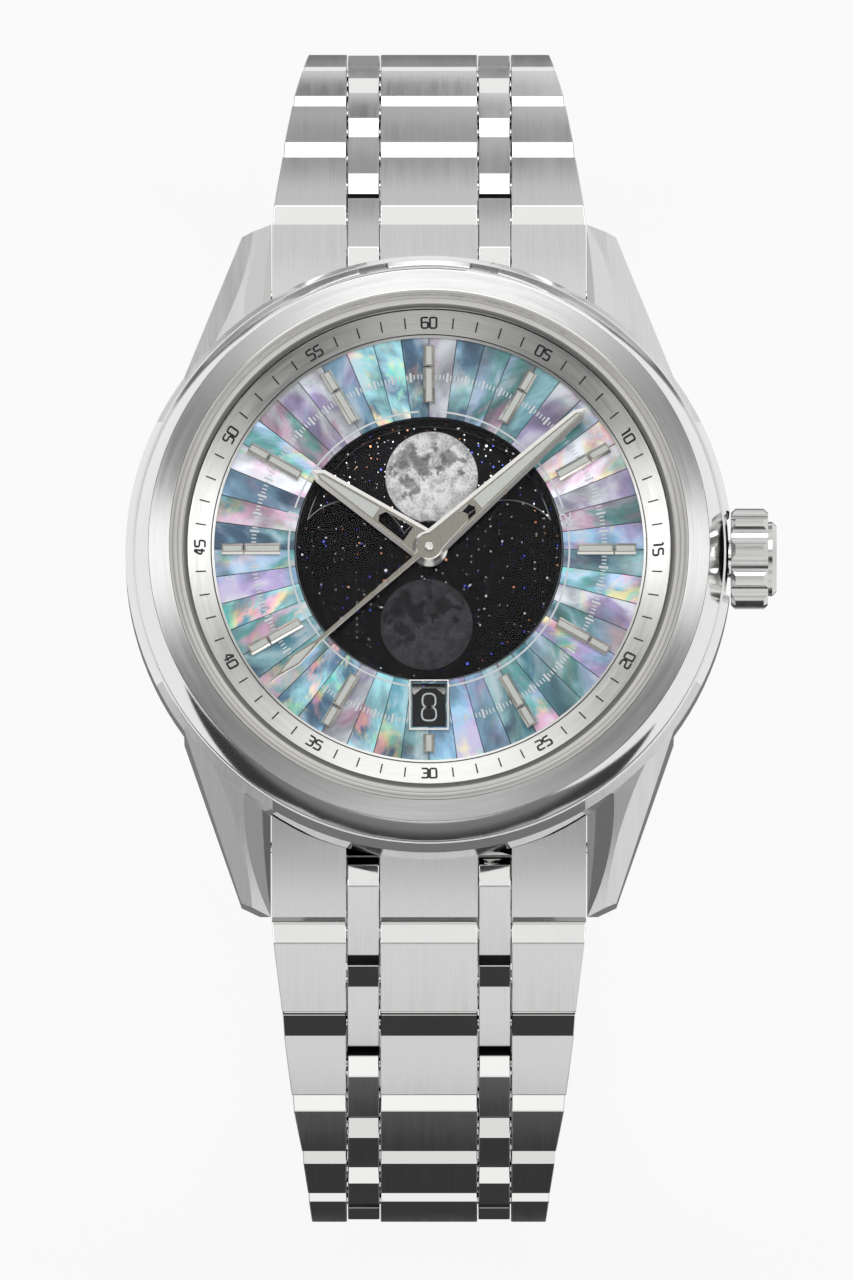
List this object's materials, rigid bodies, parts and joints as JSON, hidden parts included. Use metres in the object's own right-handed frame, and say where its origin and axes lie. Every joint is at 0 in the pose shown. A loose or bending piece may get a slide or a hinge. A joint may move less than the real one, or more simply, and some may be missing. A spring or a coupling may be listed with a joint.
{
  "type": "moon phase wristwatch",
  "caption": "Round automatic wristwatch with a moon phase window, pearl wedge dial, date, crown and a closed five-column steel bracelet with folding clasp.",
  "frame": {"origin": "centre of the case back's outer face, on the axis of the hands", "axes": "+Z out of the dial, +Y to 12 o'clock, +X to 3 o'clock and the crown"},
  "size_m": [0.0455, 0.0825, 0.0624],
  "materials": {
    "steel": "brushed and polished stainless steel",
    "polished_steel": "polished stainless steel",
    "sapphire": "clear, coated",
    "gasket": "matt",
    "black_rubber": "matt",
    "dial_brass": "satin",
    "pearl": "iridescent mother-of-pearl under clear lacquer",
    "silver_print": "fine circular brushed silver with black print",
    "smoked_cover": "smoked, gloss",
    "moon_print": "printed night sky with two moons",
    "date_print": "black with white numbers",
    "hand_metal": "faceted, plated",
    "movement_nickel": "nickel plated, fine striped",
    "holder_plastic": "matt",
    "blued_spring": "blued"
  },
  "bodies": {
    "case": {"case_middle": "steel", "bezel": "steel", "crystal": "sapphire", "crystal_gasket": "gasket", "case_back": "steel", "back_crystal": "sapphire", "case_seals": "black_rubber", "dial_plate": "dial_brass", "pearl_wedges": "pearl", "minute_ring": "silver_print", "hour_markers": "polished_steel", "date_frame": "polished_steel", "moon_cover": "smoked_cover", "crown_tube": "polished_steel", "movement_ring": "holder_plastic", "main_plate": "movement_nickel", "train_bridge": "movement_nickel", "balance_cock": "movement_nickel", "end_link_12": "steel", "end_link_6": "steel", "lug_spring_bars": "polished_steel"},
    "minute_arbor": {"centre_wheel": "dial_brass", "cannon_pinion": "dial_brass", "minute_hand": "hand_metal"},
    "hour_pipe": {"hour_wheel": "dial_brass", "hour_hand": "hand_metal"},
    "seconds_arbor": {"fourth_wheel": "dial_brass", "second_hand": "hand_metal"},
    "third_arbor": {"third_wheel": "dial_brass"},
    "escape_arbor": {"escape_wheel": "movement_nickel"},
    "pallet": {"pallet_fork": "movement_nickel"},
    "balance": {"balance_wheel": "dial_brass", "hairspring": "blued_spring"},
    "barrel_drum": {"barrel": "dial_brass"},
    "winding_rotor": {"rotor": "movement_nickel"},
    "date_disc": {"date_ring": "date_print"},
    "moon": {"moon_disc": "moon_print"},
    "stem": {"crown_stem": "polished_steel"},
    "crown_grip": {"crown": "polished_steel"},
    "link_12_1": {"link_12_1": "steel"},
    "link_12_2": {"link_12_2": "steel"},
    "link_12_3": {"link_12_3": "steel"},
    "link_12_4": {"link_12_4": "steel"},
    "link_12_5": {"link_12_5": "steel"},
    "link_12_6": {"link_12_6": "steel"},
    "link_12_7": {"link_12_7": "steel"},
    "link_12_8": {"link_12_8": "steel"},
    "link_6_1": {"link_6_1": "steel"},
    "link_6_2": {"link_6_2": "steel"},
    "link_6_3": {"link_6_3": "steel"},
    "link_6_4": {"link_6_4": "steel"},
    "link_6_5": {"link_6_5": "steel"},
    "link_6_6": {"link_6_6": "steel"},
    "link_6_7": {"link_6_7": "steel"},
    "link_6_8": {"link_6_8": "steel"},
    "clasp": {"clasp_cover": "steel"},
    "short_blade": {"clasp_short_blade": "polished_steel"},
    "long_blade": {"clasp_long_blade": "polished_steel"},
    "button_right": {"clasp_button_right": "polished_steel"},
    "button_left": {"clasp_button_left": "polished_steel"}
  },
  "joints": [
    {"name": "minute_hand_turn", "type": "hinge", "parent": "case", "child": "minute_arbor", "pos_m": [0, 0, 0.0102], "axis": [0, 0, -1], "continuous": true},
    {"name": "hour_hand_turn", "type": "hinge", "parent": "case", "child": "hour_pipe", "pos_m": [0, 0, 0.0102], "axis": [0, 0, -1], "continuous": true},
    {"name": "second_hand_turn", "type": "hinge", "parent": "case", "child": "seconds_arbor", "pos_m": [0, 0, 0.0102], "axis": [0, 0, -1], "continuous": true},
    {"name": "third_wheel_turn", "type": "hinge", "parent": "case", "child": "third_arbor", "pos_m": [0.00225, -0.0039, 0.0065], "axis": [0, 0, -1], "continuous": true},
    {"name": "escape_wheel_turn", "type": "hinge", "parent": "case", "child": "escape_arbor", "pos_m": [-0.00405, -0.0015, 0.0065], "axis": [0, 0, -1], "continuous": true},
    {"name": "barrel_turn", "type": "hinge", "parent": "case", "child": "barrel_drum", "pos_m": [-0.00425, 0.0042, 0.0065], "axis": [0, 0, -1], "continuous": true},
    {"name": "pallet_fork_rock", "type": "hinge", "parent": "case", "child": "pallet", "pos_m": [-0.005, -0.0037, 0.0065], "axis": [0, 0, -1], "range_deg": [-5, 5]},
    {"name": "balance_swing", "type": "hinge", "parent": "case", "child": "balance", "pos_m": [-0.00585, -0.0071, 0.0065], "axis": [0, 0, -1], "range_deg": [-270, 270], "stiffness_Nm_per_rad": 0.0000002},
    {"name": "rotor_turn", "type": "hinge", "parent": "case", "child": "winding_rotor", "pos_m": [0, 0, 0.004], "axis": [0, 0, -1], "continuous": true},
    {"name": "date_ring_turn", "type": "hinge", "parent": "case", "child": "date_disc", "pos_m": [0, 0, 0.0093], "axis": [0, 0, -1], "continuous": true},
    {"name": "moon_disc_turn", "type": "hinge", "parent": "case", "child": "moon", "pos_m": [0, 0, 0.0095], "axis": [0, 0, -1], "continuous": true},
    {"name": "crown_pull", "type": "slide", "parent": "case", "child": "stem", "axis": [1, 0, 0], "range_m": [0, 0.0012]},
    {"name": "crown_turn", "type": "hinge", "parent": "stem", "child": "crown_grip", "pos_m": [0.022, 0, 0.0066], "axis": [1, 0, 0], "continuous": true},
    {"name": "link_12_1_hinge", "type": "hinge", "parent": "case", "child": "link_12_1", "pos_m": [0, 0.0223, 0.00238], "axis": [1, 0, 0], "range_deg": [0, 20]},
    {"name": "link_12_2_hinge", "type": "hinge", "parent": "link_12_1", "child": "link_12_2", "pos_m": [0, 0.02831, -0.00285], "axis": [1, 0, 0], "range_deg": [0, 16]},
    {"name": "link_12_3_hinge", "type": "hinge", "parent": "link_12_2", "child": "link_12_3", "pos_m": [0, 0.03333, -0.00904], "axis": [1, 0, 0], "range_deg": [0, 14.5]},
    {"name": "link_12_4_hinge", "type": "hinge", "parent": "link_12_3", "child": "link_12_4", "pos_m": [0, 0.03738, -0.01591], "axis": [1, 0, 0], "range_deg": [0, 15.5]},
    {"name": "link_12_5_hinge", "type": "hinge", "parent": "link_12_4", "child": "link_12_5", "pos_m": [0, 0.04023, -0.02335], "axis": [1, 0, 0], "range_deg": [0, 25]},
    {"name": "link_12_6_hinge", "type": "hinge", "parent": "link_12_5", "child": "link_12_6", "pos_m": [0, 0.04051, -0.03132], "axis": [1, 0, 0], "range_deg": [0, 31]},
    {"name": "link_12_7_hinge", "type": "hinge", "parent": "link_12_6", "child": "link_12_7", "pos_m": [0, 0.0374, -0.03865], "axis": [1, 0, 0], "range_deg": [0, 32]},
    {"name": "link_12_8_hinge", "type": "hinge", "parent": "link_12_7", "child": "link_12_8", "pos_m": [0, 0.03138, -0.04388], "axis": [1, 0, 0], "range_deg": [0, 33]},
    {"name": "link_6_1_hinge", "type": "hinge", "parent": "case", "child": "link_6_1", "pos_m": [0, -0.0223, 0.00238], "axis": [-1, 0, 0], "range_deg": [0, 20]},
    {"name": "link_6_2_hinge", "type": "hinge", "parent": "link_6_1", "child": "link_6_2", "pos_m": [0, -0.02822, -0.00295], "axis": [-1, 0, 0], "range_deg": [0, 17]},
    {"name": "link_6_3_hinge", "type": "hinge", "parent": "link_6_2", "child": "link_6_3", "pos_m": [0, -0.03302, -0.00932], "axis": [-1, 0, 0], "range_deg": [0, 22]},
    {"name": "link_6_4_hinge", "type": "hinge", "parent": "link_6_3", "child": "link_6_4", "pos_m": [0, -0.03588, -0.01676], "axis": [-1, 0, 0], "range_deg": [0, 14]},
    {"name": "link_6_5_hinge", "type": "hinge", "parent": "link_6_4", "child": "link_6_5", "pos_m": [0, -0.03767, -0.02452], "axis": [-1, 0, 0], "range_deg": [0, 13]},
    {"name": "link_6_6_hinge", "type": "hinge", "parent": "link_6_5", "child": "link_6_6", "pos_m": [0, -0.0385, -0.03245], "axis": [-1, 0, 0], "range_deg": [0, 32]},
    {"name": "link_6_7_hinge", "type": "hinge", "parent": "link_6_6", "child": "link_6_7", "pos_m": [0, -0.03578, -0.03994], "axis": [-1, 0, 0], "range_deg": [0, 35]},
    {"name": "link_6_8_hinge", "type": "hinge", "parent": "link_6_7", "child": "link_6_8", "pos_m": [0, -0.02976, -0.04517], "axis": [-1, 0, 0], "range_deg": [0, 34]},
    {"name": "clasp_cover_hinge", "type": "hinge", "parent": "link_12_8", "child": "clasp", "pos_m": [0, 0.02365, -0.04581], "axis": [1, 0, 0], "range_deg": [0, 60]},
    {"name": "clasp_long_blade_hinge", "type": "hinge", "parent": "clasp", "child": "long_blade", "pos_m": [0, -0.01577, -0.04775], "axis": [1, 0, 0], "range_deg": [0, 25]},
    {"name": "clasp_short_blade_hinge", "type": "hinge", "parent": "long_blade", "child": "short_blade", "pos_m": [0, 0.01506, -0.04633], "axis": [-1, 0, 0], "range_deg": [0, 90]},
    {"name": "clasp_button_right_press", "type": "slide", "parent": "clasp", "child": "button_right", "axis": [-1, 0, 0], "range_m": [0, 0.0006], "stiffness_N_per_m": 800, "springref_m": -0.001},
    {"name": "clasp_button_left_press", "type": "slide", "parent": "clasp", "child": "button_left", "axis": [1, 0, 0], "range_m": [0, 0.0006], "stiffness_N_per_m": 800, "springref_m": -0.001}
  ],
  "couplings": [
    {"joint": "hour_hand_turn", "follows": "minute_hand_turn", "ratio": 0.083333},
    {"joint": "second_hand_turn", "follows": "minute_hand_turn", "ratio": 60},
    {"joint": "third_wheel_turn", "follows": "minute_hand_turn", "ratio": -8},
    {"joint": "escape_wheel_turn", "follows": "minute_hand_turn", "ratio": -720},
    {"joint": "barrel_turn", "follows": "minute_hand_turn", "ratio": -0.15385}
  ]
}
